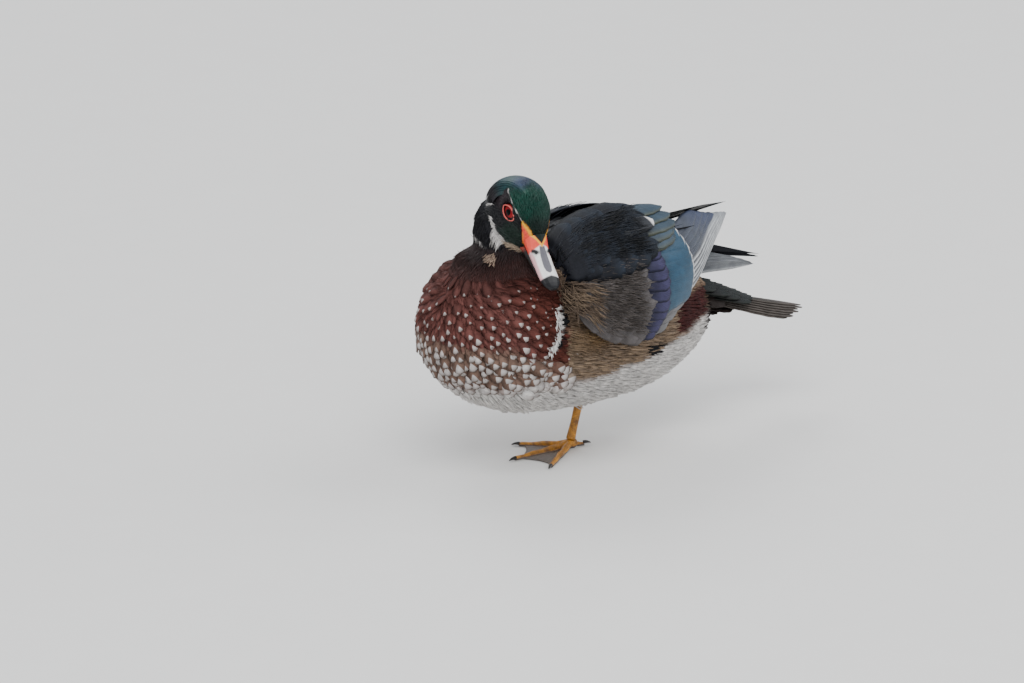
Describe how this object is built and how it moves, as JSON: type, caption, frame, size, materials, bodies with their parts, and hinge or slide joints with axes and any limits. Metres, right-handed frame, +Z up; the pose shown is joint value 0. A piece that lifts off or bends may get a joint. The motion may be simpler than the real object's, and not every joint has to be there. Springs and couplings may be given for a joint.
{
  "type": "wood duck model",
  "caption": "Life-size model of a wood duck drake, standing on its left leg with the right one drawn up and the head turned over its shoulder to preen.",
  "frame": {"origin": "on the floor, under the ball of the standing left foot", "axes": "+Z up, the tail points to +X and the breast to -X, and the bird's left side faces -Y"},
  "size_m": [0.3102, 0.1347, 0.2037],
  "materials": {
    "breast": "chestnut feathers with pale spots over a white belly",
    "neck_feathers": "dark chestnut feathers",
    "head_feathers": "glossy green and black feathers with white lines",
    "bill": "smooth horn, white and red with a dark nail",
    "bill_under": "smooth dark horn",
    "eye": "wet gloss, red iris and black pupil",
    "wing_coverts": "dark and grey-brown feathers with a blue gloss",
    "primaries": "smooth grey feathers with silvery edges",
    "tail_feathers": "dark brown feathers with a slight gloss",
    "belly": "soft white feathers",
    "leg_skin": "scaly yellow-orange skin",
    "claw": "smooth dark horn"
  },
  "bodies": {
    "root": {"torso": "breast", "neck": "neck_feathers", "head": "head_feathers", "crest": "head_feathers", "bill_upper": "bill", "bill_lower": "bill_under", "eye_left": "eye", "eye_right": "eye", "wing_left": "wing_coverts", "wing_right": "wing_coverts", "wing_left_primaries": "primaries", "wing_right_primaries": "primaries", "tail": "tail_feathers", "thigh_left": "belly", "thigh_right": "belly", "shank_left": "leg_skin", "shank_right": "leg_skin", "foot_left": "leg_skin", "foot_right": "leg_skin", "foot_left_claw_inner": "claw", "foot_left_claw_middle": "claw", "foot_left_claw_outer": "claw", "foot_left_claw_hind": "claw", "foot_right_claw_inner": "claw", "foot_right_claw_middle": "claw", "foot_right_claw_outer": "claw", "foot_right_claw_hind": "claw"}
  },
  "joints": []
}
